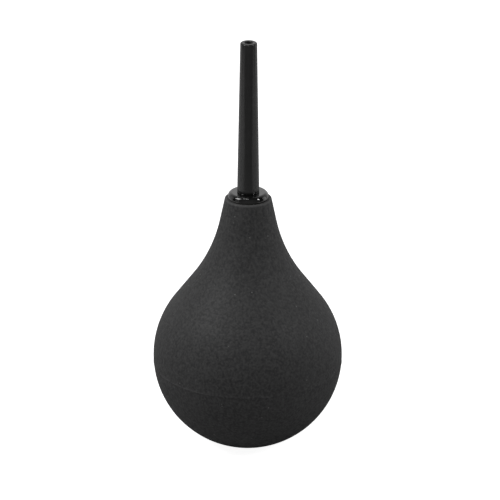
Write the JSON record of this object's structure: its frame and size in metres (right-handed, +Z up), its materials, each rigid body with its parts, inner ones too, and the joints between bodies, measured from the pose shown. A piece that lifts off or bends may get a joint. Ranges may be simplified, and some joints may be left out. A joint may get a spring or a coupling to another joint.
{
  "type": "blower bulb",
  "caption": "Pear-shaped hollow rubber bulb with a hard collar in its neck and a long tapered nozzle that screws in; squeezed by hand to blow air.",
  "frame": {"origin": "middle of the flat base that the bulb stands on", "axes": "+Z up the common axis of bulb and nozzle, towards the nozzle's tip; the part is round about it"},
  "size_m": [0.0676, 0.0676, 0.15],
  "materials": {
    "bulb_rubber": "matt black moulded rubber with a fine powdery grain",
    "collar_plastic": "polished black hard plastic",
    "ring_rubber": "smooth black sealing rubber",
    "nozzle_plastic": "satin black moulded plastic"
  },
  "bodies": {
    "bulb": {"bulb": "bulb_rubber"},
    "collar": {"collar": "collar_plastic"},
    "ring": {"o_ring": "ring_rubber"},
    "nozzle": {"nozzle": "nozzle_plastic"}
  },
  "joints": [
    {"name": "bulb_squeeze", "type": "slide", "parent": "bulb", "child": "collar", "axis": [0, 0, -1], "range_m": [0, 0.02], "stiffness_N_per_m": 500, "deforming": ["bulb"]},
    {"name": "nozzle_lift", "type": "slide", "parent": "collar", "child": "ring", "axis": [0, 0, 1], "range_m": [0, 0.00675]},
    {"name": "nozzle_turn", "type": "hinge", "parent": "ring", "child": "nozzle", "pos_m": [0, 0, 0.0949], "axis": [0, 0, 1], "range_deg": [0, 1621]}
  ],
  "couplings": [
    {"joint": "nozzle_turn", "follows": "nozzle_lift", "rad_per_m": 4188.8}
  ]
}
